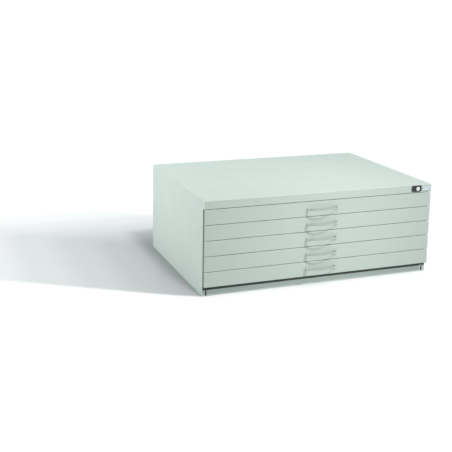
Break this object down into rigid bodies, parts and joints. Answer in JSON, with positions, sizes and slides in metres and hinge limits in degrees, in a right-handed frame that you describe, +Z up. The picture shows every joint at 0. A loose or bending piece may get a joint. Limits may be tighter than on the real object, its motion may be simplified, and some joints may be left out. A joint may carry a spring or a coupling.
{
  "type": "flat file cabinet",
  "caption": "Low steel flat file cabinet with full-width plan drawers on telescopic slides, bow handles, a central lock in the top rail and a recessed plinth.",
  "frame": {"origin": "on the floor, under the middle of the whole box, handles included", "axes": "+X to the right seen from the front, +Y to the back, +Z up"},
  "size_m": [1.1, 0.7946, 0.42],
  "materials": {
    "case_paint": "satin powder coat",
    "drawer_paint": "satin powder coat",
    "handle_paint": "satin powder coat",
    "slide_zinc": "bright zinc plate",
    "screw_steel": "zinc plate",
    "lock_plastic": "fine texture",
    "lock_chrome": "satin nickel",
    "badge_plate": "brushed"
  },
  "bodies": {
    "case": {"top_panel": "case_paint", "side_left": "case_paint", "side_right": "case_paint", "back_panel": "case_paint", "bottom_panel": "case_paint", "plinth": "case_paint", "post_front_left": "case_paint", "post_front_right": "case_paint", "post_rear_left": "case_paint", "post_rear_right": "case_paint", "top_stiffener": "case_paint", "rail_screws": "screw_steel", "back_rivets": "screw_steel", "lock_housing": "lock_plastic", "lock_bar_guides": "slide_zinc", "badge": "badge_plate", "outer_rails_1": "slide_zinc", "outer_rails_2": "slide_zinc", "outer_rails_3": "slide_zinc", "outer_rails_4": "slide_zinc", "outer_rails_5": "slide_zinc"},
    "drawer_1": {"front_1": "drawer_paint", "handle_1": "handle_paint", "handle_screws_1": "screw_steel", "tray_1": "drawer_paint", "rear_hood_1": "drawer_paint", "inner_rails_1": "slide_zinc"},
    "slides_1": {"middle_rails_1": "slide_zinc"},
    "drawer_2": {"front_2": "drawer_paint", "handle_2": "handle_paint", "handle_screws_2": "screw_steel", "tray_2": "drawer_paint", "rear_hood_2": "drawer_paint", "inner_rails_2": "slide_zinc"},
    "slides_2": {"middle_rails_2": "slide_zinc"},
    "drawer_3": {"front_3": "drawer_paint", "handle_3": "handle_paint", "handle_screws_3": "screw_steel", "tray_3": "drawer_paint", "rear_hood_3": "drawer_paint", "inner_rails_3": "slide_zinc"},
    "slides_3": {"middle_rails_3": "slide_zinc"},
    "drawer_4": {"front_4": "drawer_paint", "handle_4": "handle_paint", "handle_screws_4": "screw_steel", "tray_4": "drawer_paint", "rear_hood_4": "drawer_paint", "inner_rails_4": "slide_zinc"},
    "slides_4": {"middle_rails_4": "slide_zinc"},
    "drawer_5": {"front_5": "drawer_paint", "handle_5": "handle_paint", "handle_screws_5": "screw_steel", "tray_5": "drawer_paint", "rear_hood_5": "drawer_paint", "inner_rails_5": "slide_zinc"},
    "slides_5": {"middle_rails_5": "slide_zinc"},
    "lock": {"lock_cylinder": "lock_chrome", "lock_cam": "slide_zinc"},
    "lock_bar": {"lock_bar": "slide_zinc"}
  },
  "joints": [
    {"name": "drawer_1_slide", "type": "slide", "parent": "case", "child": "drawer_1", "axis": [0, -1, 0], "range_m": [0, 0.62]},
    {"name": "slides_1_travel", "type": "slide", "parent": "case", "child": "slides_1", "axis": [0, -1, 0], "range_m": [0, 0.31]},
    {"name": "drawer_2_slide", "type": "slide", "parent": "case", "child": "drawer_2", "axis": [0, -1, 0], "range_m": [0, 0.62]},
    {"name": "slides_2_travel", "type": "slide", "parent": "case", "child": "slides_2", "axis": [0, -1, 0], "range_m": [0, 0.31]},
    {"name": "drawer_3_slide", "type": "slide", "parent": "case", "child": "drawer_3", "axis": [0, -1, 0], "range_m": [0, 0.62]},
    {"name": "slides_3_travel", "type": "slide", "parent": "case", "child": "slides_3", "axis": [0, -1, 0], "range_m": [0, 0.31]},
    {"name": "drawer_4_slide", "type": "slide", "parent": "case", "child": "drawer_4", "axis": [0, -1, 0], "range_m": [0, 0.62]},
    {"name": "slides_4_travel", "type": "slide", "parent": "case", "child": "slides_4", "axis": [0, -1, 0], "range_m": [0, 0.31]},
    {"name": "drawer_5_slide", "type": "slide", "parent": "case", "child": "drawer_5", "axis": [0, -1, 0], "range_m": [0, 0.62]},
    {"name": "slides_5_travel", "type": "slide", "parent": "case", "child": "slides_5", "axis": [0, -1, 0], "range_m": [0, 0.31]},
    {"name": "lock_bar_lift", "type": "slide", "parent": "case", "child": "lock_bar", "axis": [0, 0, 1], "range_m": [0, 0.01131]},
    {"name": "lock_turn", "type": "hinge", "parent": "case", "child": "lock", "pos_m": [0.478, -0.3693, 0.402], "axis": [0, -1, 0], "range_deg": [0, 90]}
  ],
  "couplings": [
    {"joint": "slides_1_travel", "follows": "drawer_1_slide", "ratio": 0.5},
    {"joint": "slides_2_travel", "follows": "drawer_2_slide", "ratio": 0.5},
    {"joint": "slides_3_travel", "follows": "drawer_3_slide", "ratio": 0.5},
    {"joint": "slides_4_travel", "follows": "drawer_4_slide", "ratio": 0.5},
    {"joint": "slides_5_travel", "follows": "drawer_5_slide", "ratio": 0.5},
    {"joint": "lock_turn", "follows": "lock_bar_lift", "rad_per_m": 138.83}
  ]
}
